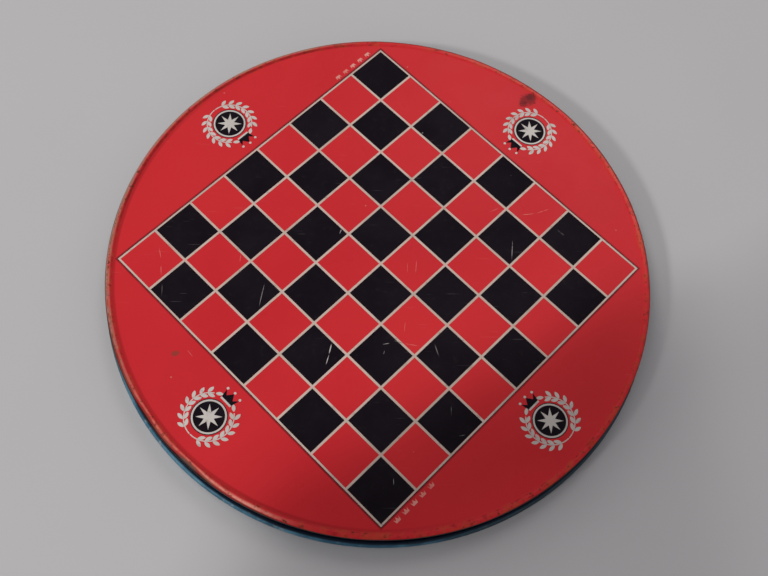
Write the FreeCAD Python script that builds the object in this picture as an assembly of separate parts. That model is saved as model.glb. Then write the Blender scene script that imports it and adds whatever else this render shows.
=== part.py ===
import FreeCAD, Part
import os
from math import atan2, cos, hypot, pi, radians, sin, sqrt, tan

# A round, double-sided game board of lithographed tinplate, in millimetres.
# The draughts panel is on top and faces +Z. The marble tray is underneath and opens downwards.
# The origin is the centre of the ring that the board rests on, and the diagonals of the
# draughts field lie along X and Y.

# ---- Overall size and stock ----
overall_diameter = 381.0
overall_height = 19.05
sheet = 0.35  # tinplate
ink = 0.05  # film of print

# ---- Draughts panel ----
rim_set_back = 2.3  # the panel's edge stands in from the tray's curl
bead_width = 4.8  # from the foot of the bead to the panel's edge
bead_rise = 0.9  # crest above the playing surface
bead_ramp = 1.8  # run of the bead's inner flank
bead_foot_radius = 1.6
bead_crest_radius = 1.4
bead_edge_radius = 1.4
hem_length = 1.3  # straight part of the edge that is rolled under the tray's corner

# ---- Seam between the two pressings ----
seam_clearance = 0.05
seam_corner_radius = 1.2
seam_land = 0.6  # upright stretch of the tray's corner
seam_lip_radius = 0.7
neck_set_back = 2.75  # the wall's neck stands in from the seam
neck_drop = 1.9  # and lies below the lip
neck_radius = 1.2

# ---- Marble tray ----
curl_height = 4.8  # rolled rim that the board stands on
foot_land = 0.8  # flat stretch under the curl
curl_gap = 0.3  # between the curl's free edge and the wall
curl_tail = 0.4  # straight end of the curl
gutter_ease = 0.9  # the gutter's width over a marble's
gutter_step_run = 2.0
gutter_step_radius = 1.5

# ---- Star field ----
marble_diameter = 14.3
seat_ease = 0.35  # the seat's radius over the marble's
dimple_depth = 3.0
dimple_lip_radius = 1.0
dimple_headroom = 0.5  # between the dimples and the back of the panel
star_rows = 4  # rows of holes in each point of the star
star_margin = 4.2  # from the tips of the printed star to the field's edge

# ---- Draughts print ----
squares_per_side = 8
line_width = 1.6
border_width = 1.3
hairline_width = 0.45
field_margin = 2.4  # from the corners of the printed field to the foot of the bead

# ---- Corner badges: a star in a laurel wreath, under a crown ----
badge_gap = 5.4  # from the field's border to the crown
medallion_radius = 10.4
medallion_ring = 1.2
medallion_outline = 0.6
medallion_star_points = 8
medallion_star_tip = 8.7
medallion_star_waist = 3.4
wreath_gap = 0.6  # from the medallion to the circle that the inner leaves point to
wreath_stem = 0.7
wreath_opening = 36.0  # degrees from the crown's middle to the end of each branch
wreath_parting = 2.0  # degrees between the feet of the two branches
leaf_pairs = 7
leaf_stalk = 0.9  # from the stem's middle to the leaf
leaf_length = 5.2
leaf_bulge = 1.2
leaf_angle = 34.0  # degrees between a leaf and the stem
crown_gap = 1.5  # from the medallion to the crown
crown_width = 11.5
crown_height = 6.6
crown_band = 1.3
jewel_radius = 0.9

# ---- Shape of every crown, as shares of its half width and its height ----
crown_foot_share = 0.8
crown_valley_share = 0.5
crown_valley = 0.4
crown_shoulder = 0.85

# ---- King row marks ----
mark_count = 5
mark_width = 4.6
mark_height = 3.4
mark_spacing = 7.6
mark_start = 11.0  # from the field's corner to the first mark
mark_gap = 1.5  # from the border to the marks

# ---- Star print ----
bare_ring = 0.9  # left bare round each dimple
star_outline = 1.2
track_width = 1.0
POINT_COLOURS = ("red", "yellow", "green", "cream", "black", "orange")

# ---- Derived sizes of the pressings ----
curl_bend = (curl_height - sheet - foot_land) / 2
curl_outer = overall_diameter / 2 - sheet / 2
wall_foot = curl_outer - 2 * curl_bend - foot_land
panel_radius = overall_diameter / 2 - rim_set_back
bead_foot = panel_radius - bead_width
playing_z = overall_height - bead_rise
panel_back_z = playing_z - sheet
gutter_z = panel_back_z - sheet / 2
seam_pitch = sheet + seam_clearance
seam_turn = atan2(neck_set_back, neck_drop)
seam_radius = panel_radius - sheet / 2 - seam_pitch
neck_path = seam_radius - neck_set_back
lip_z = gutter_z - seam_corner_radius - seam_land - seam_lip_radius * tan(seam_turn / 2)
field_z = panel_back_z - dimple_headroom - sheet - dimple_depth
gutter_inner = neck_path - sheet / 2 - gutter_ease - marble_diameter
field_edge = gutter_inner - gutter_step_run

# ---- Derived sizes of the dimples and the print ----
seat_radius = marble_diameter / 2 + seat_ease
seat_height = seat_radius - dimple_depth  # of the seat's centre, out from the play face
dimple_rim = sqrt(
    (seat_radius + dimple_lip_radius) ** 2 - (seat_height + dimple_lip_radius) ** 2
)
outline_corner = star_outline / sin(pi / 6)
hexagon_apothem = (field_edge - star_margin - outline_corner) / 2
hexagon_side = hexagon_apothem / cos(pi / 6)
row_spacing = hexagon_apothem / (star_rows + 0.5)
hole_pitch = row_spacing / cos(pi / 6)
border_half = (bead_foot - field_margin) / sqrt(2)
squares_half = border_half - hairline_width - border_width
square_pitch = (2 * squares_half + line_width) / squares_per_side
medallion_edge = medallion_radius + medallion_ring + medallion_outline
wreath_radius = medallion_edge + wreath_gap + (leaf_stalk + leaf_length) * sin(radians(leaf_angle))
crown_foot = medallion_edge + crown_gap
crown_top = crown_foot + crown_band + crown_height + 2 * jewel_radius
badge_offset = border_half + badge_gap + crown_top

Vector = FreeCAD.Vector
UP = Vector(0, 0, 1)
ORIGIN = Vector(0, 0, 0)


# ---- Sheet sections ----
def offset_corners(corners, distance):
    """Shift a path of (r, z, radius) corners to its left, with the bends kept concentric."""
    directions = []
    for (r0, z0, _), (r1, z1, _) in zip(corners, corners[1:]):
        length = hypot(r1 - r0, z1 - z0)
        directions.append(((r1 - r0) / length, (z1 - z0) / length))
    shifted = []
    for i, (r, z, radius) in enumerate(corners):
        before = directions[max(i - 1, 0)]
        after = directions[min(i, len(directions) - 1)]
        turn = atan2(
            before[0] * after[1] - before[1] * after[0],
            before[0] * after[0] + before[1] * after[1],
        )
        along = -distance * tan(turn / 2)
        bend = radius - distance * (1 if turn > 0 else -1) if radius else 0
        shifted.append(
            (r - distance * before[1] + along * before[0],
             z + distance * before[0] + along * before[1],
             bend)
        )
    return shifted


def path_edges(corners):
    """Lines and tangent arcs along a path of (r, z, radius) corners, in the XZ plane."""
    points = [Vector(r, 0, z) for r, z, _ in corners]
    edges = []
    start = points[0]
    for i in range(1, len(points) - 1):
        radius = corners[i][2]
        arriving = (points[i] - points[i - 1]).normalize()
        leaving = (points[i + 1] - points[i]).normalize()
        turn = arriving.getAngle(leaving)
        reach = radius * tan(turn / 2)
        begin, end = points[i] - arriving * reach, points[i] + leaving * reach
        inward = (leaving - arriving).normalize()
        middle = points[i] + inward * (radius / cos(turn / 2) - radius)
        if (begin - start).Length > 1e-6:
            edges.append(Part.LineSegment(start, begin).toShape())
        edges.append(Part.Arc(begin, middle, end).toShape())
        start = end
    edges.append(Part.LineSegment(start, points[-1]).toShape())
    return edges


def ends(edges):
    """First and last point of a run of edges."""
    return edges[0].valueAt(edges[0].FirstParameter), edges[-1].valueAt(edges[-1].LastParameter)


def revolved(edges):
    """Faces swept by the edges round the Z axis."""
    return [face for e in edges for face in e.revolve(ORIGIN, UP, 360).Faces]


def closed_solid(faces):
    """A solid sewn from faces that meet all the way round."""
    shell = Part.makeShell(faces)
    shell.sewShape()
    solid = Part.makeSolid(Part.Shell(shell.Faces))
    if solid.Volume < 0:
        solid.reverse()
    return solid


# ---- The two pressings ----
def panel_path():
    """Middle line of the draughts panel, from the axis to the edge of its hem."""
    middle_z = playing_z - sheet / 2
    crest_z = overall_height - sheet / 2
    edge = seam_radius + seam_pitch
    turn_z = lip_z - seam_pitch * tan(seam_turn / 2)
    bend = seam_lip_radius + seam_pitch
    hem = bend * tan(seam_turn / 2) + hem_length
    return [
        (0, middle_z, 0),
        (bead_foot, middle_z, bead_foot_radius),
        (bead_foot + bead_ramp, crest_z, bead_crest_radius),
        (edge, crest_z, bead_edge_radius),
        (edge, turn_z, bend),
        (edge - hem * sin(seam_turn), turn_z - hem * cos(seam_turn), 0),
    ]


def tray_path():
    """Middle line of the marble tray, from the axis to the free edge of its curl."""
    middle_z = field_z + sheet / 2
    low, high = sheet / 2, curl_height - sheet / 2
    last_bend = curl_bend - sheet - curl_gap
    curl_inner = wall_foot + sheet + curl_gap
    return [
        (0, middle_z, 0),
        (field_edge, middle_z, gutter_step_radius),
        (gutter_inner, gutter_z, gutter_step_radius),
        (seam_radius, gutter_z, seam_corner_radius),
        (seam_radius, lip_z, seam_lip_radius),
        (neck_path, lip_z - neck_drop, neck_radius),
        (wall_foot, low, curl_bend),
        (curl_outer, low, curl_bend),
        (curl_outer, high, curl_bend),
        (curl_inner, high, last_bend),
        (curl_inner, high - last_bend - curl_tail, 0),
    ]


def checker_panel():
    """The red disc: flat, with a raised bead whose edge is rolled under the tray's corner."""
    upper = path_edges(offset_corners(panel_path(), sheet / 2))
    lower = path_edges(offset_corners(panel_path(), -sheet / 2))
    cap = Part.LineSegment(ends(upper)[1], ends(lower)[1]).toShape()
    return closed_solid(revolved(upper + [cap] + lower))


def dimple_edges(outward):
    """Half section of a dimple's surface, so far out from its play face: the lip, then the seat."""
    lip = dimple_lip_radius - outward
    seat = seat_radius + outward
    lean = atan2(dimple_rim, seat_height + dimple_lip_radius)
    lip_centre = Vector(dimple_rim, 0, field_z + dimple_lip_radius)
    seat_centre = Vector(0, 0, field_z - seat_height)

    def on_lip(angle):
        return lip_centre - Vector(sin(angle), 0, cos(angle)) * lip

    def on_seat(angle):
        return seat_centre + Vector(sin(angle), 0, cos(angle)) * seat

    return [
        Part.Arc(on_lip(0), on_lip(lean / 2), on_lip(lean)).toShape(),
        Part.Arc(on_seat(lean), on_seat(lean / 2), on_seat(0)).toShape(),
    ]


def star_cells():
    """Steps (q, r) on a triangular grid to each hole of a six-pointed star."""
    reach = range(-2 * star_rows, 2 * star_rows + 1)
    return [
        (q, r)
        for q in reach
        for r in reach
        if max(q, r, -q - r) <= star_rows or min(q, r, -q - r) >= -star_rows
    ]


def hole_centre(q, r):
    return Vector((q + r / 2) * hole_pitch, r * row_spacing, 0)


def star_tray():
    """The wall and curl are revolved, and the star field is a pierced disc with dimples."""
    play_side = path_edges(offset_corners(tray_path(), -sheet / 2))[1:]
    back_side = path_edges(offset_corners(tray_path(), sheet / 2))[1:]
    cap = Part.LineSegment(ends(play_side)[1], ends(back_side)[1]).toShape()
    faces = revolved(play_side + [cap] + back_side)
    centres = [hole_centre(q, r) for q, r in star_cells()]
    disc = pierced(circle(ends(play_side)[0].x), dimple_rim, centres)
    for outward in (0, sheet):
        dimple = revolved(dimple_edges(outward))
        faces.append(disc.translated(Vector(0, 0, field_z + outward)))
        faces += [face.translated(c) for c in centres for face in dimple]
    return closed_solid(faces)


# ---- Flat shapes for the print, drawn at height 0 ----
def polygon(points):
    """Closed wire through (x, y) points."""
    corners = [Vector(x, y, 0) for x, y in points]
    return Part.makePolygon(corners + corners[:1])


def rectangle(width, height, x=0, y=0):
    """Closed wire of an upright rectangle with its centre at (x, y)."""
    left, right, low, high = x - width / 2, x + width / 2, y - height / 2, y + height / 2
    return polygon([(left, low), (right, low), (right, high), (left, high)])


def circle(radius, x=0, y=0):
    return Part.Wire(Part.Circle(Vector(x, y, 0), UP, radius).toShape())


def flat_face(outer, *inner):
    """The flat face inside a closed wire and outside the wires within it."""
    return Part.makeFace(Part.Compound([outer, *inner]), "Part::FaceMakerBullseye")


def pierced(outline, hole_radius, centres):
    """The flat face inside a closed wire, with a round hole at each centre."""
    return flat_face(outline, *[circle(hole_radius, c.x, c.y) for c in centres])


def turned(shape, angle):
    """A copy of the shape, turned round Z by an angle in degrees."""
    copy = shape.copy()
    copy.rotate(ORIGIN, UP, angle)
    return copy


def star_wire(points, tip, waist):
    """Closed wire of a star with one tip along +Y."""
    radii = [tip, waist] * points
    angles = [pi * i / points for i in range(2 * points)]
    return polygon([(r * sin(a), r * cos(a)) for r, a in zip(radii, angles)])


def crown_wire(width, height, x, y):
    """Closed wire of a three-pointed crown that stands on (x, y)."""
    foot, valley = crown_foot_share, (crown_valley_share, crown_valley)
    tip = (1, crown_shoulder)
    right = [(foot, 0), tip, valley]
    left = [(-across, up) for across, up in reversed(right)]
    return polygon([(x + across * width / 2, y + up * height) for across, up in right + [(0, 1)] + left])


def printed(faces, z, thickness=ink):
    """Films of ink on flat faces, up from height z, or down if the thickness is negative."""
    lift, grow = Vector(0, 0, z), Vector(0, 0, thickness)
    return Part.Compound([f.translated(lift).extrude(grow) for face in faces for f in face.Faces])


# ---- Draughts print ----
def squares(wanted):
    """Outlines of the squares whose column and row pass the test."""
    side = square_pitch - line_width
    middle = (squares_per_side - 1) / 2
    every = range(squares_per_side)
    return [
        rectangle(side, side, (i - middle) * square_pitch, (j - middle) * square_pitch)
        for i in every
        for j in every
        if wanted(i, j)
    ]


def black_squares():
    chosen = squares(lambda i, j: (i + j) % 2 == 0)
    return printed([turned(flat_face(outline), 45) for outline in chosen], playing_z)


def grid_lines():
    side = 2 * (squares_half + border_width)
    lines = flat_face(rectangle(side, side), *squares(lambda i, j: True))
    return printed([turned(lines, 45)], playing_z)


def border_hairline():
    outer = 2 * border_half
    inner = outer - 2 * hairline_width
    ring = flat_face(rectangle(outer, outer), rectangle(inner, inner))
    return printed([turned(ring, 45)], playing_z)


def king_row_marks():
    """Small crowns outside the border, beside the near and the far corner of the field."""
    foot = -border_half - mark_gap - mark_height
    first = mark_start - border_half
    row = [
        flat_face(crown_wire(mark_width, mark_height, first + i * mark_spacing, foot))
        for i in range(mark_count)
    ]
    return printed([turned(mark, angle) for angle in (45, 225) for mark in row], playing_z)


# ---- Corner badges, drawn with the board's centre towards +Y ----
def polar(radius, angle):
    """The point at a radius, so many degrees from +X."""
    return Vector(radius * cos(radians(angle)), radius * sin(radians(angle)), 0)


def leaf(heading, lean):
    """A pointed leaf whose stalk is at the origin, turned by lean degrees from the heading."""
    foot, tip = Vector(leaf_stalk, 0, 0), Vector(leaf_stalk + leaf_length, 0, 0)
    middle = leaf_stalk + leaf_length / 2
    sides = [Part.Arc(foot, Vector(middle, y, 0), tip).toShape() for y in (leaf_bulge, -leaf_bulge)]
    return turned(Part.Face(Part.Wire(sides)), heading + lean)


def branch(side):
    """Half of the wreath: a curved stem between pairs of leaves, on the right if side is 1."""
    start, end = -90 + side * wreath_parting / 2, -90 + side * (180 - wreath_opening)
    inner, outer = wreath_radius - wreath_stem / 2, wreath_radius + wreath_stem / 2
    corners = [polar(outer, start), polar(outer, end), polar(inner, end), polar(inner, start)]
    middle = (start + end) / 2
    stem = [
        Part.Arc(corners[0], polar(outer, middle), corners[1]).toShape(),
        Part.LineSegment(corners[1], corners[2]).toShape(),
        Part.Arc(corners[2], polar(inner, middle), corners[3]).toShape(),
        Part.LineSegment(corners[3], corners[0]).toShape(),
    ]
    faces = [Part.Face(Part.Wire(stem))]
    for i in range(leaf_pairs):
        along = start + (end - start) * (i + 1) / (leaf_pairs + 1)
        for lean in (leaf_angle, -leaf_angle):
            faces.append(leaf(along + side * 90, lean).translated(polar(wreath_radius, along)))
    faces.append(leaf(end + side * 90, 0).translated(polar(wreath_radius, end)))
    return faces


def crown_jewels(foot):
    """A round jewel on each tip of a badge's crown that stands at the given height."""
    tips = [(side * crown_width / 2, crown_shoulder * crown_height) for side in (-1, 1)]
    tips.append((0, crown_height))
    return [flat_face(circle(jewel_radius, x, foot + rise + jewel_radius)) for x, rise in tips]


def on_badges(faces):
    """The faces of a badge, at the middle of each side of the draughts field."""
    placed = []
    for angle in (45, 135, 225, 315):
        placed += [turned(face.translated(Vector(0, -badge_offset, 0)), angle) for face in faces]
    return placed


def badge_black():
    star = star_wire(medallion_star_points, medallion_star_tip, medallion_star_waist)
    ring_edge = medallion_radius + medallion_ring
    faces = [
        flat_face(circle(medallion_radius), star),
        flat_face(circle(medallion_edge), circle(ring_edge)),
        flat_face(crown_wire(crown_width, crown_height, 0, crown_foot + crown_band)),
    ]
    return printed(on_badges(faces), playing_z)


def badge_cream():
    ring_edge = medallion_radius + medallion_ring
    band = rectangle(crown_foot_share * crown_width, crown_band, 0, crown_foot + crown_band / 2)
    faces = [
        flat_face(star_wire(medallion_star_points, medallion_star_tip, medallion_star_waist)),
        flat_face(circle(ring_edge), circle(medallion_radius)),
        flat_face(band),
    ]
    faces += branch(1) + branch(-1) + crown_jewels(crown_foot + crown_band)
    return printed(on_badges(faces), playing_z)


# ---- Star print, on the play face of the tray ----
def point_direction(index):
    """Unit vector towards one of the star's six points."""
    angle = pi / 6 + index * pi / 3
    return Vector(cos(angle), sin(angle), 0)


def hole_centres_where(wanted):
    return [c for c in (hole_centre(q, r) for q, r in star_cells()) if wanted(c)]


def star_point(index):
    """One coloured point of the star, pierced for its holes."""
    towards = point_direction(index)
    tip = towards * (2 * hexagon_apothem)
    base = [
        (hexagon_side * cos(i * pi / 3), hexagon_side * sin(i * pi / 3)) for i in (index, index + 1)
    ]
    centres = hole_centres_where(lambda c: c.dot(towards) > hexagon_apothem)
    face = pierced(polygon([*base, (tip.x, tip.y)]), dimple_rim + bare_ring, centres)
    return printed([face], field_z, -ink)


def star_hexagon():
    """The cream middle of the star, pierced for its holes."""
    directions = [point_direction(i) for i in range(6)]
    centres = hole_centres_where(lambda c: max(c.dot(d) for d in directions) < hexagon_apothem)
    corners = [(hexagon_side * cos(i * pi / 3), hexagon_side * sin(i * pi / 3)) for i in range(6)]
    return printed([pierced(polygon(corners), dimple_rim + bare_ring, centres)], field_z, -ink)


def star_border():
    """The outline round the whole star."""
    points = len(POINT_COLOURS)
    inner = star_wire(points, 2 * hexagon_apothem, hexagon_side)
    outer = star_wire(
        points, 2 * hexagon_apothem + outline_corner, hexagon_side + star_outline / cos(pi / 6)
    )
    return printed([flat_face(outer, inner)], field_z, -ink)


def star_tracks():
    """Short lines between neighbouring holes, printed over the colours."""
    cells = set(star_cells())
    length = hole_pitch - 2 * (dimple_rim + bare_ring)
    tracks = []
    for q, r in sorted(cells):
        for turn, (dq, dr) in ((0, (1, 0)), (60, (0, 1)), (120, (-1, 1))):
            if (q + dq, r + dr) in cells:
                middle = (hole_centre(q, r) + hole_centre(q + dq, r + dr)) / 2
                line = turned(flat_face(rectangle(length, track_width)), turn)
                tracks.append(line.translated(middle))
    return printed(tracks, field_z - ink, -ink)


# ---- Write one file for each node ----
NODES = {
    "checker_panel": checker_panel,
    "star_tray": star_tray,
    "black_squares": black_squares,
    "grid_lines": grid_lines,
    "border_hairline": border_hairline,
    "king_row_marks": king_row_marks,
    "badge_black": badge_black,
    "badge_cream": badge_cream,
    "star_hexagon": star_hexagon,
    "star_border": star_border,
    "star_tracks": star_tracks,
}

os.makedirs("parts", exist_ok=True)
for node, make in NODES.items():
    make().exportStep(f"parts/{node}.step")
for number, colour in enumerate(POINT_COLOURS):
    star_point(number).exportStep(f"parts/star_point_{colour}.step")
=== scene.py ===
from math import atan2, cos, exp, hypot, pi, radians, sin, sqrt, tan

import bpy
from mathutils import Matrix, Vector


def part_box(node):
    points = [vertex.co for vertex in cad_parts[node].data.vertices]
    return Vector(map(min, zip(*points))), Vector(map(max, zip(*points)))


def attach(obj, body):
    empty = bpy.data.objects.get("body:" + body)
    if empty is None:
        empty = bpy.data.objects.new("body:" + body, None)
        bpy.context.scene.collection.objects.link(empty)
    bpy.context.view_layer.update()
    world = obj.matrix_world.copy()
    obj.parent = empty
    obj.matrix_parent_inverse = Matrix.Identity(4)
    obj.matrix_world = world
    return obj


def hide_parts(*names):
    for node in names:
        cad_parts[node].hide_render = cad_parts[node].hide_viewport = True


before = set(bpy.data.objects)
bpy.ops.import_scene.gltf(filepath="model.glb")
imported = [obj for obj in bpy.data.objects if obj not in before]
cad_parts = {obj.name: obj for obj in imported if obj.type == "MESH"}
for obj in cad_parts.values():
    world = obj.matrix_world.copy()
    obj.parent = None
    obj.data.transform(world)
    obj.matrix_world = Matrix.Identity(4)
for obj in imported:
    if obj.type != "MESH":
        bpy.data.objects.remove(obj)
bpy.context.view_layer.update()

# ---- Measures of the frame, in metres ----
PLAY_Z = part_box("black_squares")[0].z
CURL_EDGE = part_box("star_tray")[1].x
PANEL_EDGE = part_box("checker_panel")[1].x
PANEL_LOW, PANEL_HIGH = (corner.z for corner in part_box("checker_panel"))
LINE_WIDTH, BORDER_WIDTH = 0.0016, 0.0013
SQUARES_PER_SIDE = 8
SQUARE = (sqrt(2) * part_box("grid_lines")[1].x - 2 * BORDER_WIDTH + LINE_WIDTH) / SQUARES_PER_SIDE
HAIRLINE_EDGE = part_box("border_hairline")[1].x / sqrt(2)

# ---- The bead round the red panel, in metres ----
BEAD_WIDTH, BEAD_RAMP = 0.0048, 0.0018
BEAD_FOOT = PANEL_EDGE - BEAD_WIDTH
FOOT_BEND, CREST_BEND, EDGE_BEND, LIP_BEND = 0.0014, 0.0016, 0.0016, 0.0013
HEM_REACH, HEM_DROP = 0.0016, 0.0011
SHEET = 0.00035
FLAT_RING = 0.003  # flat part of the section, inside the bead's foot
STEPS_ROUND = 720
STEPS_IN_BEND = 10
# Azimuth in degrees, spread in degrees, and depth in metres of the dents in the bead's edge.
RIM_DENTS = [(216, 3.2, 0.0008), (229.5, 4.4, 0.0013), (190, 26, 0.0004), (268, 18, -0.0005)]
# Waves round the rim: how many, phase in radians, and height in metres.
RIM_WAVES = [(7, 0.4, 0.00010), (13, 1.9, 0.00007), (29, 2.7, 0.00004)]

# ---- Bands along the bead's section, in millimetres from its foot (from, to, softness) ----
FOOT_BAND = (-1.7, 0.7, 0.8)
MOTTLE_BAND = (0.2, 4.6, 0.4)
DARK_BAND = (0.4, 4.6, 0.4)
PIT_BAND = (0.6, 4.4, 0.5)
WEAR_SOFTNESS = 0.5
# Where the dark outer edge, dirt with painted shade, and the seam's painted shade set in, and where they
# are full.
EDGE_START, EDGE_FULL = 4.2, 4.9
SEAM_START, SEAM_FULL = 4.6, 5.3

# ---- Stretches round the rim, in degrees left of the near point (from, to, softness) ----
FOOT_SHADED = (0.0, 128.0, 28.0)
# Near left, where the dark edge is wider: painted shade standing for the gap under the bead.
EDGE_SHADE_NEAR_LEFT = (26.0, 74.0, 8.0)
EDGE_DUSTY = (76.0, 166.0, 10.0)
SEAM_DUSTY = (108.0, 166.0, 10.0)
# Near left, where the curl's pale edge, worn paint with a painted highlight, is wider.
CURL_PALE_WIDER = (24.0, 76.0, 8.0)
# Near right, where painted shade darkens the curl's pale edge.
CURL_DARK = (-100.0, -12.0, 10.0)
# Left, where the outside of the tray turns dull grey-green.
CURL_GREYED = (64.0, 112.0, 9.0)
FAR_START, FAR_FULL = 60.0, 120.0  # on both sides, where the dark edge, dirt with painted shade, grows wider

# ---- Zones of the tray and the field that differ in colour, in metres ----
GUTTER_DIRT = (0.1690, 0.1835, 0.0012)  # radii of the dirt in the gutter (from, to, softness)
OUTSIDE_START, OUTSIDE_FULL = 0.1840, 0.1850  # radii between the gutter and the wall's outside
WALL_SHADE_START, WALL_SHADE_FULL = 0.0010, 0.0030  # heights between which the outside of the wall turns to painted shade
PALE_EDGE_START, PALE_EDGE_FULL = CURL_EDGE - 0.0025, CURL_EDGE - 0.0012  # radii of the pale edge round the curl, worn paint with a painted highlight
PALE_EDGE_WAVE = 0.0012  # how far the inner border of the pale edge wanders
PALE_EDGE_EXTRA = 0.0006  # how much wider the pale edge is on the near left
BLEED = (0.0001, 0.0009, 0.0003)  # black outside the hairline (from, to, softness)

# ---- Colours, linear ----
RED = (0.640, 0.0305, 0.0360, 1)
RED_DEEP = (0.580, 0.0240, 0.0310, 1)
RED_PALE = (0.70, 0.13, 0.11, 1)
RED_SHADE = (0.26, 0.012, 0.012, 1)
# Pink of worn tin, also used as a painted highlight on the crest.
PINK_WEAR_AND_HIGHLIGHT = (0.66, 0.19, 0.125, 1)
PINK_GLINT = (0.86, 0.33, 0.26, 1)
ORANGE_RUST = (0.46, 0.085, 0.028, 1)
# Dark red grime, also used as painted shade on the left of the bead's crest.
RED_GRIME_AND_SHADE = (0.085, 0.012, 0.012, 1)
BARE_TIN = (0.62, 0.36, 0.27, 1)
TAN = (0.42, 0.22, 0.13, 1)
TAN_GREY = (0.33, 0.235, 0.165, 1)
DUSTY = (0.400, 0.165, 0.145, 1)
RUST = (0.110, 0.030, 0.016, 1)
BLUE = (0.021, 0.100, 0.165, 1)
BLUE_DEEP = (0.006, 0.020, 0.048, 1)
BLUE_PALE = (0.075, 0.225, 0.320, 1)
# Near-black blue: painted shade on the outside of the tray's wall.
BLUE_PAINTED_SHADE = (0.0040, 0.0085, 0.0240, 1)
BLUE_CHIP = (0.34, 0.36, 0.36, 1)
BLUE_SCRATCH = (0.40, 0.46, 0.50, 1)
BLACK = (0.0088, 0.0062, 0.0094, 1)
BLACK_GREY = (0.0122, 0.0092, 0.0132, 1)
CREAM = (0.63, 0.50, 0.43, 1)
CREAM_AGED = (0.53, 0.41, 0.345, 1)
WHITE = (0.62, 0.58, 0.54, 1)
WHITE_AGED = (0.52, 0.47, 0.43, 1)
YELLOW = (0.66, 0.36, 0.035, 1)
YELLOW_AGED = (0.50, 0.25, 0.030, 1)
GREEN = (0.030, 0.170, 0.060, 1)
GREEN_AGED = (0.020, 0.110, 0.045, 1)
ORANGE = (0.62, 0.125, 0.020, 1)
ORANGE_AGED = (0.46, 0.085, 0.018, 1)
FADED = (0.74, 0.38, 0.32, 1)
SCRATCH = (0.62, 0.58, 0.56, 1)
PINK_SCRATCH = (0.85, 0.42, 0.36, 1)
GRIME = (0.050, 0.038, 0.030, 1)
# Near black: painted shade in the seam under the bead's edge.
SEAM_PAINTED_SHADE = (0.010, 0.005, 0.006, 1)
# Olive dirt, also used as painted shade on the bead's outer edge.
OLIVE_DIRT_AND_SHADE = (0.105, 0.062, 0.034, 1)
GREEN_GREY = (0.045, 0.052, 0.045, 1)
GREEN_DARK = (0.010, 0.021, 0.024, 1)
BLOT_RED = (0.15, 0.014, 0.016, 1)
BLOT_BROWN = (0.16, 0.060, 0.040, 1)
FLOOR_DARK = (0.492, 0.485, 0.489, 1)
FLOOR_LIGHT = (0.527, 0.520, 0.524, 1)
ROOM_LOW = (0.38, 0.368, 0.386, 1)
ROOM_HIGH = (0.220, 0.213, 0.224, 1)
LAMP_COLOUR = (1.0, 0.99, 0.975)

# ---- Finish ----
ENAMEL_GLOSS, TRAY_GLOSS, FLOOR_GLOSS = 0.07, 0.30, 0.2
BLACK_GLOSS, CREAM_GLOSS, INK_GLOSS = 0.02, 0.07, 0.22
ENAMEL_ROUGHNESS, INK_ROUGHNESS = (0.26, 0.36), (0.42, 0.54)  # lowest and highest
TRAY_ROUGHNESS, FLOOR_ROUGHNESS = (0.36, 0.52), (0.55, 0.65)
LACQUER_DEPTH, FLOOR_DEPTH = 0.00003, 0.00002  # depth of the bump, in metres

# ---- Where the bead is worn, with painted highlights and painted shade ----
# Degrees left of the near point (from, to, softness), millimetres along the section from the
# bead's foot (from, to), strength, and two colours that mix in flecks.
BEAD_WEAR = [
    (60, 104, 9, 1.9, 3.8, 0.65, DUSTY, TAN),
    # Worn pink crest on the near left, which also serves as a painted highlight of the window lamp.
    (20, 60, 9, 1.8, 4.2, 0.88, PINK_WEAR_AND_HIGHLIGHT, RED_PALE),
    # A painted highlight on the crest.
    (22, 36, 7, 2.4, 4.0, 1.00, PINK_GLINT, PINK_GLINT),
    # Painted shade on the left and far left of the crest.
    (96, 172, 9, 0.5, 2.4, 0.70, RED_SHADE, RED_GRIME_AND_SHADE),
    (100, 172, 9, 2.7, 5.0, 0.85, DUSTY, TAN),
    # Tan-grey and olive outer edge on the left: wear and dirt, with painted shade.
    (62, 112, 8, 3.3, 4.9, 0.80, TAN_GREY, OLIVE_DIRT_AND_SHADE),
    # Pale pink line on the right and far right of the crest: painted highlight, with some wear.
    (-165, -95, 12, 1.5, 3.4, 0.45, PINK_WEAR_AND_HIGHLIGHT, RED_PALE),
    (-110, -20, 14, 1.6, 2.4, 0.20, RED_PALE, ORANGE_RUST),
]

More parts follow.
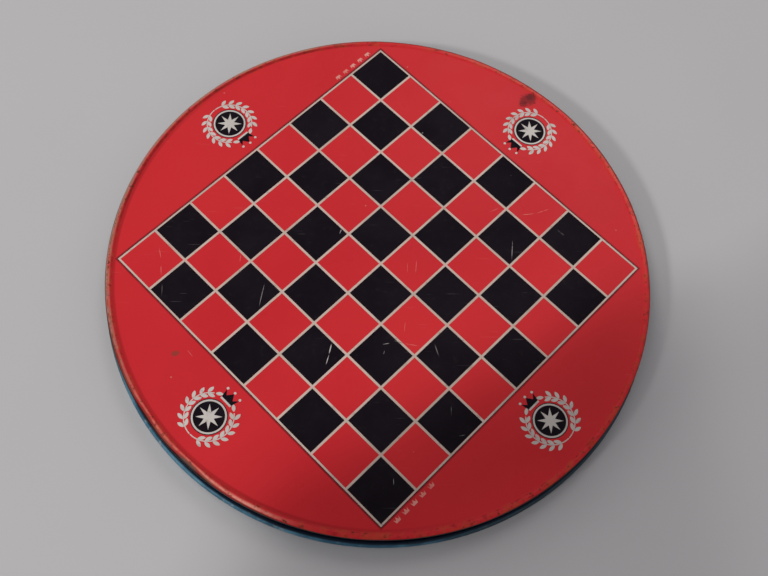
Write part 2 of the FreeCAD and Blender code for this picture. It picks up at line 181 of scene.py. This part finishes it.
# ---- Marks on the draughts side, in squares from its middle ----
# From x, y to x, y, width in millimetres, and strength.
SCRATCHES = [
    (-1.04, -1.86, -1.09, -2.12, 0.9, 1.0),
    (-1.08, -2.10, -1.15, -2.36, 0.7, 0.9),
    (-2.50, -0.48, -2.60, -1.10, 0.6, 0.45),
    (0.03, -1.88, 0.20, -1.85, 0.7, 0.45),
    (0.09, -2.01, 0.05, -2.11, 0.5, 0.3),
    (0.27, -1.78, 0.50, -1.86, 0.8, 0.55),
    (0.48, -1.85, 0.83, -1.90, 0.6, 0.45),
    (0.52, -1.33, 0.50, -1.60, 0.5, 0.35),
    (1.13, -1.83, 1.23, -2.16, 0.6, 0.35),
    (1.45, -3.18, 1.45, -3.42, 0.7, 0.16),
    (1.58, -3.84, 1.73, -3.81, 0.7, 0.2),
    (0.25, -4.70, 0.25, -4.86, 0.5, 0.4),
    (-4.82, 0.30, -4.76, 0.01, 0.6, 0.4),
    (-4.75, -0.12, -4.72, -0.38, 0.7, 0.45),
    (-4.68, -0.55, -4.66, -0.88, 0.7, 0.14),
    (-3.05, 0.18, -3.06, -0.03, 0.8, 0.35),
    (-0.87, 0.83, -0.92, 0.70, 0.8, 0.7),
    (-1.04, 0.41, -1.10, 0.30, 0.7, 0.4),
    (2.93, 0.66, 2.88, 0.12, 0.6, 0.5),
    (3.12, 1.27, 3.50, 1.31, 0.6, 0.5),
    (3.48, 1.30, 3.86, 1.46, 0.6, 0.5),
    (2.43, 1.32, 2.70, 1.45, 0.7, 0.3),
    (0.78, 0.14, 0.75, -0.26, 0.6, 0.4),
    (0.59, 0.08, 0.575, -0.23, 0.5, 0.25),
    (3.94, 0.91, 4.12, 0.76, 1.2, 0.12),
    (-4.05, -2.05, -3.90, -2.22, 0.6, 0.3),
]
BLOT_WIDTH, BLOT_TURN = 0.8, 0.4  # a blot's width over its length, and its angle in radians
# x, y, half length, strength, and colour.
BLOTS = [
    (3.50, 4.36, 0.30, 0.75, BLOT_RED),
    (3.56, 4.44, 0.16, 0.60, RED_GRIME_AND_SHADE),
    (3.38, 4.24, 0.14, 0.55, RED_GRIME_AND_SHADE),
    (-4.28, -2.15, 0.12, 0.60, BLOT_BROWN),
    (1.86, 0.63, 0.05, 0.5, BARE_TIN),
]
# Angle in radians, scale along and across the streaks, and the noise level where a streak starts.
STREAKS = [(1.35, 34.0, 1700.0, 0.745), (0.35, 42.0, 1900.0, 0.755), (2.35, 38.0, 1500.0, 0.760)]
SCRATCH_BEND = 0.0012  # how far a placed scratch strays from a straight line, in metres

# ---- Floor and lamps, in metres ----
FLOOR_REACH = 4
LAMP_DISTANCE = 4.0
# Azimuth and elevation in degrees, size in metres, and power in watts.
WINDOW = (212, 36.5, 0.5, 51.0)
PANEL = (142, 62, 2.0, 54.0)
FILL = (68, 54, 1.6, 17.0)

# ---- Cards that shade the near right of the board ----
# A card's edge over the board, in metres: along it, and out towards the near right.
SHADE_EDGE = [
    (-0.42, 0.135), (-0.19, 0.135), (-0.15, 0.099), (0.15, 0.099), (0.19, 0.120), (0.42, 0.120),
]
SHADE_REACH = 0.52
SHADE_EDGE_AZIMUTH = 30  # azimuth in degrees of the way along the edge
# How far the card stands off towards its lamp, in metres, and how much light it lets through over
# the board, outside the rim, and to the right of the board.
WINDOW_CARD = (0.25, 0.34, 0.55, 0.95)
PANEL_CARD = (0.16, 0.02, 0.33, 0.38)
CARD_RIM = (0.186, 0.206)  # radii between which it changes from over the board to outside
CARD_RIGHT = (0.155, 0.215)  # x between which it changes from over the board to the right

# ---- Camera ----
CAMERA_AZIMUTH, CAMERA_ELEVATION, CAMERA_ROLL = -6.465, 66.34, 6.93  # degrees
CAMERA_AIM = (0.068, -0.578)  # squares from the middle of the field
CAMERA_DISTANCE = 21.43  # squares
CAMERA_LENS, CAMERA_SENSOR = 46.51, 36.0  # millimetres


# ---- Nodes ----
def add(tree, kind, inputs=None, **settings):
    """A new node. Its inputs are linked to the sockets given, or set to the values."""
    node = tree.nodes.new(kind)
    for name, value in settings.items():
        setattr(node, name, value)
    for key, value in (inputs or {}).items():
        if isinstance(value, bpy.types.NodeSocket):
            tree.links.new(value, node.inputs[key])
        else:
            node.inputs[key].default_value = value
    return node


def maths(tree, operation, a, b=0.0):
    return add(tree, "ShaderNodeMath", {0: a, 1: b}, operation=operation).outputs[0]


def product(tree, *factors):
    total = factors[0]
    for factor in factors[1:]:
        total = maths(tree, "MULTIPLY", total, factor)
    return total


def mixed(tree, factor, a, b):
    """Colour a where the factor is 0 and b where it is 1. Sockets 6 and 7 are the node's colours."""
    node = add(tree, "ShaderNodeMix", {0: factor, 6: a, 7: b}, data_type="RGBA")
    return node.outputs[2]


def ramp(tree, value, low, high, bottom=0.0, top=1.0):
    """A smooth step from bottom to top as the value goes from low to high."""
    inputs = {0: value, 1: low, 2: high, 3: bottom, 4: top}
    return add(tree, "ShaderNodeMapRange", inputs, interpolation_type="SMOOTHSTEP").outputs[0]


def noise(tree, place, scale, detail=2.0, roughness=0.5):
    inputs = {"Vector": place, "Scale": scale, "Detail": detail, "Roughness": roughness}
    return add(tree, "ShaderNodeTexNoise", inputs).outputs[0]


def blotches(tree, place, scale, low, high, bottom=0.0, top=1.0, detail=3.0, roughness=0.6):
    """Noise with its contrast raised, from bottom to top."""
    return ramp(tree, noise(tree, place, scale, detail, roughness), low, high, bottom, top)


def placed(tree, place, location, angle, scale):
    """Coordinates that are 0 at the location, and 1 a scale's length away from it."""
    inputs = {0: place, 1: location, 2: (0, 0, angle), 3: scale}
    return add(tree, "ShaderNodeMapping", inputs, vector_type="TEXTURE").outputs[0]


def object_place(tree):
    return add(tree, "ShaderNodeTexCoord").outputs["Object"]


def split(tree, place):
    return add(tree, "ShaderNodeSeparateXYZ", {0: place}).outputs


def axis_distance(tree, place):
    flat = add(tree, "ShaderNodeVectorMath", {0: place, 1: (1, 1, 0)}, operation="MULTIPLY")
    return add(tree, "ShaderNodeVectorMath", {0: flat.outputs[0]}, operation="LENGTH").outputs[1]


def degrees_left_of_near(tree, place):
    """Angle round the axis in degrees: 0 at -Y, 90 at -X and -90 at +X."""
    x, y, _ = split(tree, place)
    across, ahead = maths(tree, "MULTIPLY", x, -1.0), maths(tree, "MULTIPLY", y, -1.0)
    return maths(tree, "MULTIPLY", maths(tree, "ARCTAN2", across, ahead), 180 / pi)


def band(tree, value, low, high, soft):
    """1 between low and high, with soft edges."""
    rising = ramp(tree, value, low - soft, low + soft)
    falling = ramp(tree, value, high - soft, high + soft, 1.0, 0.0)
    return maths(tree, "MULTIPLY", rising, falling)


def new_group(name):
    tree = bpy.data.node_groups.new(name, "ShaderNodeTree")
    tree.interface.new_socket(name="Mask", in_out="OUTPUT", socket_type="NodeSocketFloat")
    return tree


def use_group(tree, group):
    node = add(tree, "ShaderNodeGroup")
    node.node_tree = group
    return node.outputs[0]


# ---- Masks that several finishes share ----
def placed_scratches():
    """Mask of the scratches that the draughts side has at known places."""
    tree = new_group("placed_scratches")
    place = object_place(tree)
    bend = add(tree, "ShaderNodeTexNoise", {"Vector": place, "Scale": 60.0, "Detail": 1.0})
    reach = Vector((SCRATCH_BEND, SCRATCH_BEND, 0))
    inputs = {0: bend.outputs[1], 1: reach, 2: -reach / 2}
    shift = add(tree, "ShaderNodeVectorMath", inputs, operation="MULTIPLY_ADD").outputs[0]
    bent = add(tree, "ShaderNodeVectorMath", {0: place, 1: shift}, operation="ADD").outputs[0]
    total = 0.0
    for x0, y0, x1, y1, width, strength in SCRATCHES:
        middle = ((x0 + x1) / 2 * SQUARE, (y0 + y1) / 2 * SQUARE, PLAY_Z)
        half = hypot(x1 - x0, y1 - y0) / 2 * SQUARE
        at = placed(tree, bent, middle, atan2(y1 - y0, x1 - x0), (half, width / 2000, 0.001))
        line = add(tree, "ShaderNodeTexGradient", {0: at}, gradient_type="SPHERICAL").outputs[1]
        mark = ramp(tree, line, 0.0, 0.55, top=strength)
        total = maths(tree, "MAXIMUM", mark, total)
    broken = blotches(tree, place, 420.0, 0.30, 0.52, bottom=0.25, detail=2.0, roughness=0.5)
    add(tree, "NodeGroupOutput", {0: product(tree, total, broken)})
    return tree


def fine_scratches():
    """Mask of hairline scratches in several directions, in patches."""
    tree = new_group("fine_scratches")
    place = object_place(tree)
    total = 0.0
    for i, (angle, long, across, limit) in enumerate(STREAKS):
        inputs = {0: place, 1: (0.37 * i, 0.21 * i, 0), 2: (0, 0, angle), 3: (long, across, 1.0)}
        stretched = add(tree, "ShaderNodeMapping", inputs).outputs[0]
        streak = noise(tree, stretched, 1.0, 1.0)
        total = maths(tree, "MAXIMUM", ramp(tree, streak, limit, limit + 0.05), total)
    patch = blotches(tree, place, 16.0, 0.45, 0.62, detail=2.0, roughness=0.5)
    add(tree, "NodeGroupOutput", {0: product(tree, total, patch)})
    return tree


def specks():
    """Mask of small chips and bits of dust."""
    tree = new_group("specks")
    place = object_place(tree)
    cells = add(tree, "ShaderNodeTexVoronoi", {"Vector": place, "Scale": 95.0})
    dot = ramp(tree, cells.outputs[0], 0.030, 0.065, 1.0, 0.0)
    pick = add(tree, "ShaderNodeSeparateColor", {0: cells.outputs[1]}).outputs[0]
    chosen = ramp(tree, pick, 0.90, 0.93)
    add(tree, "NodeGroupOutput", {0: product(tree, dot, chosen)})
    return tree


PLACED = placed_scratches()
FINE = fine_scratches()
SPECKS = specks()


# ---- Materials ----
def new_material(name, gloss):
    """A material with its tree and its shader."""
    material = bpy.data.materials.new(name)
    material.use_nodes = True
    shader = material.node_tree.nodes["Principled BSDF"]
    shader.inputs["Specular IOR Level"].default_value = gloss
    return material, material.node_tree, shader


def finish_surface(tree, shader, colour, roughness, height, depth):
    """Link the colour, the roughness and a bump of that depth in metres to the shader."""
    tree.links.new(colour, shader.inputs["Base Color"])
    tree.links.new(roughness, shader.inputs["Roughness"])
    bump = add(tree, "ShaderNodeBump", {"Height": height, "Distance": depth, "Strength": 1.0})
    tree.links.new(bump.outputs[0], shader.inputs["Normal"])


def lacquer_height(tree, place):
    """Unevenness of the rolled sheet and its lacquer."""
    waves = noise(tree, place, 14.0, 1.0)
    peel = noise(tree, place, 700.0, 2.0)
    return maths(tree, "ADD", product(tree, waves, 4.0), product(tree, peel, 0.05))


def scratch_mask(tree, known):
    """Fine scratches, with the placed ones on the side where they are known."""
    fine = product(tree, use_group(tree, FINE), 0.16)
    if not known:
        return fine
    return maths(tree, "MAXIMUM", use_group(tree, PLACED), fine)


def ink(name, fresh, aged, known, scratch_colour=SCRATCH, grime=0.30, gloss=INK_GLOSS):
    """Lithographed ink under lacquer: mottled, a little dirty and finely scratched."""
    material, tree, shader = new_material(name, gloss)
    place = object_place(tree)
    colour = mixed(tree, blotches(tree, place, 26.0, 0.35, 0.70, detail=4.0), fresh, aged)
    dirt = blotches(tree, place, 210.0, 0.56, 0.74, top=grime, roughness=0.7)
    colour = mixed(tree, dirt, colour, GRIME)
    scratches = scratch_mask(tree, known)
    colour = mixed(tree, scratches, colour, scratch_colour)
    colour = mixed(tree, product(tree, use_group(tree, SPECKS), 0.35), colour, scratch_colour)
    rough = blotches(tree, place, 38.0, 0.3, 0.7, *INK_ROUGHNESS)
    height = maths(tree, "SUBTRACT", lacquer_height(tree, place), product(tree, scratches, 0.4))
    finish_surface(tree, shader, colour, rough, height, LACQUER_DEPTH)
    return material


def ink_beside_hairline(tree, place):
    """Mask of the black that shows on the red outside the field's hairline."""
    x, y, _ = split(tree, place)
    reach = maths(tree, "ADD", maths(tree, "ABSOLUTE", x), maths(tree, "ABSOLUTE", y))
    out = maths(tree, "SUBTRACT", maths(tree, "MULTIPLY", reach, 1 / sqrt(2)), HAIRLINE_EDGE)
    ragged = blotches(tree, place, 60.0, 0.30, 0.65, bottom=0.35, top=0.65)
    return product(tree, band(tree, out, *BLEED), ragged)


def bead_wear(tree, place, colour):
    """The bead's colour: painted shade at its foot, a worn crest with painted highlights and painted
    shade, a dark outer edge of dirt and painted shade, a dusty edge on the left, and painted shade in the
    seam.
    """
    along = add(tree, "ShaderNodeAttribute", attribute_name="along").outputs["Fac"]
    turn = degrees_left_of_near(tree, place)
    flecks = blotches(tree, place, 260.0, 0.42, 0.60, roughness=0.7)
    ragged = blotches(tree, place, 110.0, 0.32, 0.62, bottom=0.40, detail=4.0, roughness=0.75)
    foot = product(tree, band(tree, along, *FOOT_BAND), band(tree, turn, *FOOT_SHADED), 0.52)
    colour = mixed(tree, foot, colour, RED_SHADE)
    mottle = blotches(tree, place, 130.0, 0.46, 0.66, top=0.42)
    colour = mixed(tree, product(tree, band(tree, along, *MOTTLE_BAND), mottle), colour, ORANGE_RUST)
    dark = blotches(tree, place, 170.0, 0.54, 0.70, top=0.50)
    colour = mixed(tree, product(tree, band(tree, along, *DARK_BAND), dark), colour, RED_SHADE)
    for start, end, soft, low, high, strength, tone, other in BEAD_WEAR:
        stretch = band(tree, turn, start, end, soft)
        worn = product(tree, stretch, band(tree, along, low, high, WEAR_SOFTNESS), ragged, strength)
        colour = mixed(tree, worn, colour, mixed(tree, flecks, tone, other))
    pits = blotches(tree, place, 330.0, 0.56, 0.70, roughness=0.75)
    colour = mixed(tree, product(tree, band(tree, along, *PIT_BAND), pits), colour, RUST)
    # The outer edge darkens with dirt and painted shade where it turns away from the light, wider on the
    # far side and on the near left.
    far_side = ramp(tree, maths(tree, "ABSOLUTE", turn), FAR_START, FAR_FULL)
    wider = maths(tree, "MAXIMUM", far_side, band(tree, turn, *EDGE_SHADE_NEAR_LEFT))
    edge = ramp(tree, maths(tree, "ADD", along, wider), EDGE_START, EDGE_FULL)
    edge_tone = mixed(tree, blotches(tree, place, 90.0, 0.35, 0.62, detail=4.0), OLIVE_DIRT_AND_SHADE, RED_SHADE)
    dusty_side = product(tree, band(tree, turn, *EDGE_DUSTY), 0.85)
    edge_tone = mixed(tree, dusty_side, edge_tone, mixed(tree, flecks, DUSTY, TAN_GREY))
    colour = mixed(tree, product(tree, edge, 0.85), colour, edge_tone)
    # Painted shade in the seam under the bead's edge, dusty on the left.
    seam = ramp(tree, along, SEAM_START, SEAM_FULL, top=0.97)
    seam_tone = mixed(tree, band(tree, turn, *SEAM_DUSTY), SEAM_PAINTED_SHADE, DUSTY)
    return mixed(tree, seam, colour, seam_tone)


def red_enamel():
    """The red panel: faded enamel with marks, and the bead round it."""
    material, tree, shader = new_material("red_enamel", ENAMEL_GLOSS)
    place = object_place(tree)
    faded = blotches(tree, place, 7.0, 0.30, 0.72, detail=4.0, roughness=0.55)
    colour = mixed(tree, faded, RED_DEEP, RED)
    scratches = scratch_mask(tree, True)
    colour = mixed(tree, product(tree, scratches, 0.8), colour, PINK_SCRATCH)
    colour = mixed(tree, product(tree, use_group(tree, SPECKS), 0.45), colour, BARE_TIN)
    ragged = noise(tree, place, 480.0, 3.0, 0.7)
    for x, y, size, strength, tone in BLOTS:
        scale = (size * SQUARE, size * SQUARE * BLOT_WIDTH, 0.01)
        at = placed(tree, place, (x * SQUARE, y * SQUARE, PLAY_Z), BLOT_TURN, scale)
        blot = add(tree, "ShaderNodeTexGradient", {0: at}, gradient_type="SPHERICAL").outputs[1]
        edge = ramp(tree, maths(tree, "ADD", blot, ragged), 0.62, 1.10, top=strength)
        colour = mixed(tree, product(tree, edge, ramp(tree, blot, 0.0, 0.25)), colour, tone)
    colour = mixed(tree, ink_beside_hairline(tree, place), colour, BLACK)
    colour = bead_wear(tree, place, colour)
    rough = blotches(tree, place, 30.0, 0.3, 0.7, *ENAMEL_ROUGHNESS)
    height = maths(tree, "SUBTRACT", lacquer_height(tree, place), product(tree, scratches, 0.4))
    finish_surface(tree, shader, colour, rough, height, LACQUER_DEPTH)
    return material


def blue_enamel():
    """The blue tray: painted shade on the outside of its wall, dirt in its gutter, and a pale edge round
    its curl, of worn paint and painted highlight, under painted shade on the near right.
    """
    material, tree, shader = new_material("blue_enamel", TRAY_GLOSS)
    place = object_place(tree)
    radius = axis_distance(tree, place)
    height_z = split(tree, place)[2]
    faded = blotches(tree, place, 11.0, 0.30, 0.72, bottom=0.60, detail=4.0)
    colour = mixed(tree, faded, BLUE_DEEP, BLUE)
    gutter = band(tree, radius, *GUTTER_DIRT)
    dirt = blotches(tree, place, 46.0, 0.42, 0.74, top=0.55, detail=4.0, roughness=0.65)
    colour = mixed(tree, product(tree, gutter, dirt), colour, GRIME)
    # Painted shade on the outside of the wall, above the foot of the curl.
    outside = ramp(tree, radius, OUTSIDE_START, OUTSIDE_FULL)
    above = ramp(tree, height_z, WALL_SHADE_START, WALL_SHADE_FULL)
    colour = mixed(tree, product(tree, outside, above, 0.93), colour, BLUE_PAINTED_SHADE)
    # A paler edge round the curl: worn paint with a painted highlight, wider on the near left where the
    # window lamp falls.
    wavy = maths(tree, "MULTIPLY", noise(tree, place, 40.0, 3.0), PALE_EDGE_WAVE)
    turn = degrees_left_of_near(tree, place)
    wider = product(tree, band(tree, turn, *CURL_PALE_WIDER), -PALE_EDGE_EXTRA)
    shift = maths(tree, "ADD", wavy, wider)
    pale_edge = ramp(tree, maths(tree, "SUBTRACT", radius, shift), PALE_EDGE_START, PALE_EDGE_FULL)
    pale_edge_blue = mixed(tree, blotches(tree, place, 55.0, 0.35, 0.65), BLUE_PALE, BLUE)
    colour = mixed(tree, pale_edge, colour, pale_edge_blue)
    chips = blotches(tree, place, 150.0, 0.60, 0.70, top=0.6, detail=4.0, roughness=0.7)
    colour = mixed(tree, product(tree, pale_edge, chips), colour, BLUE_CHIP)
    # Painted shade over the curl's pale edge on the near right.
    right_side = band(tree, turn, *CURL_DARK)
    colour = mixed(tree, product(tree, right_side, pale_edge, 0.88), colour, GREEN_DARK)
    left_side = band(tree, turn, *CURL_GREYED)
    colour = mixed(tree, product(tree, left_side, outside, 0.85), colour, GREEN_GREY)
    scratches = scratch_mask(tree, False)
    colour = mixed(tree, scratches, colour, BLUE_SCRATCH)
    colour = mixed(tree, product(tree, use_group(tree, SPECKS), 0.4), colour, TAN)
    rough = blotches(tree, place, 30.0, 0.3, 0.7, *TRAY_ROUGHNESS)
    finish_surface(tree, shader, colour, rough, lacquer_height(tree, place), LACQUER_DEPTH)
    return material


def floor_material():
    material, tree, shader = new_material("pale_floor", FLOOR_GLOSS)
    place = object_place(tree)
    colour = mixed(tree, noise(tree, place, 5.0, 3.0), FLOOR_DARK, FLOOR_LIGHT)
    grain = noise(tree, place, 900.0, 2.0)
    rough = ramp(tree, grain, 0.3, 0.7, *FLOOR_ROUGHNESS)
    finish_surface(tree, shader, colour, rough, grain, FLOOR_DEPTH)
    return material


# ---- Finish of each node ----
def dress(material, *names):
    for name in names:
        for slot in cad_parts[name].material_slots:
            slot.material = material


def dress_draughts_side():
    black = ink("black_ink", BLACK, BLACK_GREY, True, grime=0.10, gloss=BLACK_GLOSS)
    cream = ink("cream_ink", CREAM, CREAM_AGED, True, GRIME, gloss=CREAM_GLOSS)
    white = ink("white_ink", WHITE, WHITE_AGED, False, GRIME, gloss=CREAM_GLOSS)
    faded = ink("faded_cream_ink", FADED, RED_PALE, True, RED, grime=0.15, gloss=CREAM_GLOSS)
    dress(black, "black_squares", "border_hairline", "badge_black")
    dress(cream, "grid_lines")
    dress(white, "badge_cream")
    dress(faded, "king_row_marks")


def dress_star_side():
    dress(blue_enamel(), "star_tray")
    dress(ink("star_black_ink", BLACK, BLACK_GREY, False), "star_border", "star_point_black")
    dress(ink("star_cream_ink", CREAM, CREAM_AGED, False, GRIME), "star_hexagon", "star_point_cream")
    dress(ink("star_red_ink", RED, RED_DEEP, False), "star_point_red")
    dress(ink("star_yellow_ink", YELLOW, YELLOW_AGED, False), "star_point_yellow")
    dress(ink("star_green_ink", GREEN, GREEN_AGED, False), "star_point_green")
    dress(ink("star_orange_ink", ORANGE, ORANGE_AGED, False), "star_point_orange")
    dress(ink("star_blue_ink", BLUE_DEEP, BLUE, False), "star_tracks")


# ---- The red panel, with the dents in its bead ----
def smooth(low, high, value):
    share = min(max((value - low) / (high - low), 0.0), 1.0)
    return share * share * (3 - 2 * share)


def rounded(corners):
    """Points along a path of (r, z, bend) corners, with an arc at each bend."""
    points = [Vector(corners[0][:2])]
    for before, corner, after in zip(corners, corners[1:], corners[2:]):
        at = Vector(corner[:2])
        back = (Vector(before[:2]) - at).normalized()
        ahead = (Vector(after[:2]) - at).normalized()
        half = back.angle(ahead) / 2
        centre = at + (back + ahead).normalized() * corner[2] / sin(half)
        start = at + back * corner[2] / tan(half) - centre
        end = at + ahead * corner[2] / tan(half) - centre
        turns = [start.slerp(end, i / STEPS_IN_BEND) for i in range(STEPS_IN_BEND + 1)]
        points += [centre + turn * corner[2] for turn in turns]
    points.append(Vector(corners[-1][:2]))
    return points


def panel_section():
    """The panel's outer surface from its flat field to its hem, as (r, z) points."""
    return rounded([
        (BEAD_FOOT - FLAT_RING, PLAY_Z, 0),
        (BEAD_FOOT, PLAY_Z, FOOT_BEND),
        (BEAD_FOOT + BEAD_RAMP, PANEL_HIGH, CREST_BEND),
        (PANEL_EDGE, PANEL_HIGH, EDGE_BEND),
        (PANEL_EDGE, PANEL_LOW + HEM_DROP, LIP_BEND),
        (PANEL_EDGE - HEM_REACH, PANEL_LOW, 0),
    ])


def rim_shift(azimuth):
    """How far the bead's edge stands in from a true circle, at an azimuth in degrees."""
    dents = sum(depth * exp(-(((azimuth - middle) / spread) ** 2)) for middle, spread, depth in RIM_DENTS)
    waves = sum(height * sin(count * radians(azimuth) + phase) for count, phase, height in RIM_WAVES)
    return dents + waves


def dent_share(r, z):
    """How far a point of the section follows the dents: all the way at the crest's outer edge."""
    outward = (r - BEAD_FOOT) / (PANEL_EDGE - EDGE_BEND - BEAD_FOOT)
    outward = min(max(outward, 0.0), 1.0)
    return outward * (1 - smooth(0.25, 1.0, (PANEL_HIGH - z) / EDGE_BEND))


def ring(r, z):
    """The points of the section's revolution at one of its points."""
    share = dent_share(r, z)
    points = []
    for i in range(STEPS_ROUND):
        azimuth = 360 * i / STEPS_ROUND
        radius = r - share * rim_shift(azimuth)
        points.append((radius * cos(radians(azimuth)), radius * sin(radians(azimuth)), z))
    return points


def revolved(section):
    """A mesh of the section turned round the axis, with its middle closed."""
    points, along = [], []
    distance = -FLAT_RING
    for i, (r, z) in enumerate(section):
        if i:
            distance += (section[i] - section[i - 1]).length
        points += ring(r, z)
        along += [distance * 1000] * STEPS_ROUND
    faces = [tuple(range(STEPS_ROUND))]
    for i in range(len(section) - 1):
        for j in range(STEPS_ROUND):
            k = (j + 1) % STEPS_ROUND
            low, high = i * STEPS_ROUND, (i + 1) * STEPS_ROUND
            faces.append((low + j, high + j, high + k, low + k))
    mesh = bpy.data.meshes.new("red_panel")
    mesh.from_pydata(points, [], faces)
    mesh.attributes.new("along", "FLOAT", "POINT").data.foreach_set("value", along)
    mesh.polygons.foreach_set("use_smooth", [True] * len(faces))
    return mesh


def red_panel():
    mesh = revolved(panel_section())
    mesh.materials.append(red_enamel())
    panel = bpy.data.objects.new("red_panel", mesh)
    bpy.context.scene.collection.objects.link(panel)
    thickness = panel.modifiers.new("sheet", "SOLIDIFY")
    thickness.thickness = SHEET
    thickness.offset = -1
    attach(panel, "root")
    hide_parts("checker_panel")


# ---- Stage, light and camera ----
def flat_piece(name, corners):
    mesh = bpy.data.meshes.new(name)
    mesh.from_pydata(corners, [], [tuple(range(len(corners)))])
    piece = bpy.data.objects.new(name, mesh)
    bpy.context.scene.collection.objects.link(piece)
    return piece


def floor():
    corners = [(x * FLOOR_REACH, y * FLOOR_REACH, 0) for x, y in [(-1, -1), (1, -1), (1, 1), (-1, 1)]]
    plane = flat_piece("floor", corners)
    plane.data.materials.append(floor_material())


def towards(azimuth, elevation):
    """The way from the origin to a lamp, at an azimuth and an elevation in degrees."""
    turn = radians(azimuth)
    return Vector((cos(turn), sin(turn), tan(radians(elevation)))).normalized()


def soft_lamp(name, azimuth, elevation, size, power):
    way = towards(azimuth, elevation)
    data = bpy.data.lights.new(name, "AREA")
    data.shape = "DISK"
    data.size = size
    data.energy = power
    data.color = LAMP_COLOUR
    lamp = bpy.data.objects.new(name, data)
    lamp.location = way * LAMP_DISTANCE
    lamp.rotation_euler = way.to_track_quat("Z", "Y").to_euler()
    bpy.context.scene.collection.objects.link(lamp)
    return lamp


def card_material(name, over, outside, right):
    """Black, and see-through by three shares: over the board, outside its rim, and to its right."""
    material, tree, shader = new_material(name, 0.0)
    shader.inputs["Base Color"].default_value = (0, 0, 0, 1)
    place = object_place(tree)
    outside_share = ramp(tree, axis_distance(tree, place), *CARD_RIM, over, outside)
    right_share = ramp(tree, split(tree, place)[0], *CARD_RIGHT, over, right)
    open_share = maths(tree, "MAXIMUM", outside_share, right_share)
    clear = add(tree, "ShaderNodeBsdfTransparent").outputs[0]
    blend = add(tree, "ShaderNodeMixShader", {0: open_share, 1: shader.outputs[0], 2: clear})
    tree.links.new(blend.outputs[0], tree.nodes["Material Output"].inputs["Surface"])
    return material


def shade_card(name, way, distance, *shares):
    """An unseen card that takes a lamp's light from the near right of the board."""
    edge_turn, shade_turn = radians(SHADE_EDGE_AZIMUTH), radians(SHADE_EDGE_AZIMUTH - 90)
    edge_way = Vector((cos(edge_turn), sin(edge_turn), 0))
    shade_way = Vector((cos(shade_turn), sin(shade_turn), 0))
    corners = [(SHADE_EDGE[0][0], SHADE_REACH), *SHADE_EDGE, (SHADE_EDGE[-1][0], SHADE_REACH)]
    over_board = [edge_way * along + shade_way * out + Vector((0, 0, PLAY_Z)) for along, out in corners]
    card = flat_piece(name, over_board)
    card.location = way * distance
    card.data.materials.append(card_material(name, *shares))
    card.visible_camera = False
    card.visible_glossy = False
    card.visible_diffuse = False
    return card


def keep_clear(lamp, *cards):
    """These cards don't block this lamp."""
    unshaded = bpy.data.collections.new("clear_of_" + lamp.name)
    for card in cards:
        unshaded.objects.link(card)
    for member in unshaded.collection_objects:
        member.light_linking.link_state = "EXCLUDE"
    lamp.light_linking.blocker_collection = unshaded


def lamps():
    """A window on the near left, a broad panel on the far left, and a fill on the far right."""
    window = soft_lamp("window", *WINDOW)
    panel = soft_lamp("panel", *PANEL)
    panel.visible_glossy = False
    fill = soft_lamp("fill", *FILL)
    window_card = shade_card("window_card", towards(*WINDOW[:2]), *WINDOW_CARD)
    panel_card = shade_card("panel_card", towards(*PANEL[:2]), *PANEL_CARD)
    keep_clear(window, panel_card)
    keep_clear(panel, window_card)
    keep_clear(fill, window_card, panel_card)


def room():
    """A soft room that is a little brighter low down."""
    world = bpy.data.worlds.new("soft_room")
    world.use_nodes = True
    tree = world.node_tree
    height = split(tree, add(tree, "ShaderNodeTexCoord").outputs["Generated"])[2]
    colour = mixed(tree, ramp(tree, height, 0.30, 0.95), ROOM_LOW, ROOM_HIGH)
    background = tree.nodes["Background"]
    tree.links.new(colour, background.inputs[0])
    background.inputs[1].default_value = 1.0
    world.cycles.sampling_method = "NONE"
    bpy.context.scene.world = world


def camera():
    """At the viewpoint that shows the whole draughts side, turned a little about its line of sight."""
    azimuth, elevation, roll = radians(CAMERA_AZIMUTH), radians(CAMERA_ELEVATION), radians(CAMERA_ROLL)
    aim = Vector((CAMERA_AIM[0] * SQUARE, CAMERA_AIM[1] * SQUARE, PLAY_Z))
    back = Vector((sin(azimuth) * cos(elevation), -cos(azimuth) * cos(elevation), sin(elevation)))
    level = Vector((cos(azimuth), sin(azimuth), 0))
    right = level * cos(roll) + back.cross(level) * sin(roll)
    up = back.cross(right)
    data = bpy.data.cameras.new("camera")
    data.sensor_width = CAMERA_SENSOR
    data.lens = CAMERA_LENS
    data.clip_start = 0.01
    data.clip_end = 50.0
    eye = bpy.data.objects.new("camera", data)
    turn = Matrix((right, up, back)).transposed().to_4x4()
    eye.matrix_world = Matrix.Translation(aim + back * (CAMERA_DISTANCE * SQUARE)) @ turn
    bpy.context.scene.collection.objects.link(eye)
    bpy.context.scene.camera = eye


bpy.context.scene.view_settings.view_transform = "Standard"
dress_draughts_side()
dress_star_side()
red_panel()
floor()
lamps()
room()
camera()
